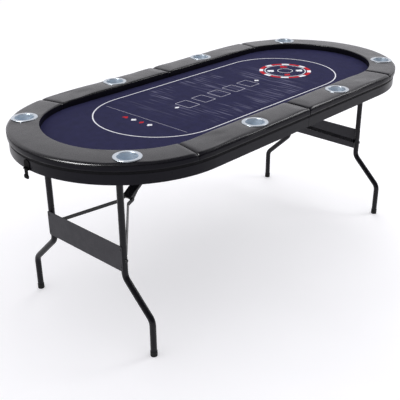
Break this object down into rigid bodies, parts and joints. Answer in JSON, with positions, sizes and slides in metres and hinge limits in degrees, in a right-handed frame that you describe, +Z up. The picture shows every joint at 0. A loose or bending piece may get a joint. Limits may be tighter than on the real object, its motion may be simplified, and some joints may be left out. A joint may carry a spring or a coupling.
{
  "type": "folding card table",
  "caption": "Oval folding card table with a padded black rail, round cup holders, a navy playing surface and braced folding steel leg frames under each half.",
  "frame": {"origin": "on the floor under the middle of the table", "axes": "+X along the table's length with the latch at the -X end, +Y across it, +Z up"},
  "size_m": [1.9299, 0.864, 0.764],
  "materials": {
    "vinyl": "glossy black vinyl over foam",
    "felt": "navy speed cloth with a printed line and card outlines",
    "board": "board with a dark edge and a plain underside",
    "apron_wrap": "black vinyl over a bent board",
    "fold_wood": "black painted wood",
    "cup_metal": "satin stainless steel",
    "tube_black": "black powder coat on steel tube",
    "plate_black": "dark grey satin paint on sheet steel",
    "brace_black": "black powder coat on strip steel",
    "zinc": "zinc-plated steel",
    "cap_rubber": "moulded black rubber",
    "latch_black": "black painted steel"
  },
  "bodies": {
    "left_half": {"apron_left": "apron_wrap", "cup_end_far_left": "cup_metal", "cup_end_near_left": "cup_metal", "cup_side_far_left": "cup_metal", "cup_side_near_left": "cup_metal", "felt_left": "felt", "fold_rail_left": "fold_wood", "hinge_leaves_left": "zinc", "hinge_pins": "zinc", "latch_base": "latch_black", "link_bracket_left": "zinc", "link_pin_left": "zinc", "pivot_clips_left": "zinc", "rail_end_left": "vinyl", "rail_far_left": "vinyl", "rail_near_left": "vinyl", "top_board_left": "board", "underside_screws_left": "zinc"},
    "right_half": {"apron_right": "apron_wrap", "cup_end_far_right": "cup_metal", "cup_end_near_right": "cup_metal", "cup_side_far_right": "cup_metal", "cup_side_near_right": "cup_metal", "felt_right": "felt", "fold_rail_right": "fold_wood", "hinge_leaves_right": "zinc", "latch_keeper": "latch_black", "link_bracket_right": "zinc", "link_pin_right": "zinc", "pivot_clips_right": "zinc", "rail_end_right": "vinyl", "rail_far_right": "vinyl", "rail_near_right": "vinyl", "top_board_right": "board", "underside_screws_right": "zinc"},
    "leg_frame_left": {"crossbar_left": "plate_black", "foot_cap_far_left": "cap_rubber", "foot_cap_near_left": "cap_rubber", "frame_fasteners_left": "brace_black", "leg_far_left": "tube_black", "leg_near_left": "tube_black", "pivot_tube_left": "tube_black"},
    "leg_frame_right": {"crossbar_right": "plate_black", "foot_cap_far_right": "cap_rubber", "foot_cap_near_right": "cap_rubber", "frame_fasteners_right": "brace_black", "leg_far_right": "tube_black", "leg_near_right": "tube_black", "pivot_tube_right": "tube_black"},
    "brace_arms_left": {"brace_arm_far_left": "brace_black", "brace_arm_near_left": "brace_black"},
    "brace_arms_right": {"brace_arm_far_right": "brace_black", "brace_arm_near_right": "brace_black"},
    "brace_link_left": {"brace_link_left": "brace_black", "knee_pin_left": "zinc"},
    "brace_link_right": {"brace_link_right": "brace_black", "knee_pin_right": "zinc"},
    "latch_hook": {"latch_hook": "latch_black"}
  },
  "joints": [
    {"name": "top_fold", "type": "hinge", "parent": "left_half", "child": "right_half", "pos_m": [0, 0, 0.681], "axis": [0, 1, 0], "range_deg": [0, 90]},
    {"name": "leg_fold_left", "type": "hinge", "parent": "left_half", "child": "leg_frame_left", "pos_m": [-0.76, 0, 0.705], "axis": [0, -1, 0], "range_deg": [0, 90]},
    {"name": "brace_arm_turn_left", "type": "hinge", "parent": "leg_frame_left", "child": "brace_arms_left", "pos_m": [-0.76, 0, 0.345], "axis": [0, -1, 0], "range_deg": [0, 66.03]},
    {"name": "brace_link_turn_left", "type": "hinge", "parent": "left_half", "child": "brace_link_left", "pos_m": [-0.20033, 0, 0.699], "axis": [0, 1, 0], "range_deg": [0, 36.02]},
    {"name": "leg_fold_right", "type": "hinge", "parent": "right_half", "child": "leg_frame_right", "pos_m": [0.76, 0, 0.705], "axis": [0, 1, 0], "range_deg": [0, 90]},
    {"name": "brace_arm_turn_right", "type": "hinge", "parent": "leg_frame_right", "child": "brace_arms_right", "pos_m": [0.76, 0, 0.345], "axis": [0, 1, 0], "range_deg": [0, 66.03]},
    {"name": "brace_link_turn_right", "type": "hinge", "parent": "right_half", "child": "brace_link_right", "pos_m": [0.20033, 0, 0.699], "axis": [0, -1, 0], "range_deg": [0, 36.02]},
    {"name": "latch_swing", "type": "hinge", "parent": "left_half", "child": "latch_hook", "pos_m": [-0.96043, 0.0274, 0.689], "axis": [0.0632, 0.998, 0], "range_deg": [0, 100]}
  ],
  "couplings": [
    {"joint": "brace_arm_turn_left", "follows": "leg_fold_left", "ratio": 0.7335},
    {"joint": "brace_link_turn_left", "follows": "leg_fold_left", "ratio": 0.39994},
    {"joint": "brace_arm_turn_right", "follows": "leg_fold_right", "ratio": 0.7335},
    {"joint": "brace_link_turn_right", "follows": "leg_fold_right", "ratio": 0.39994}
  ]
}
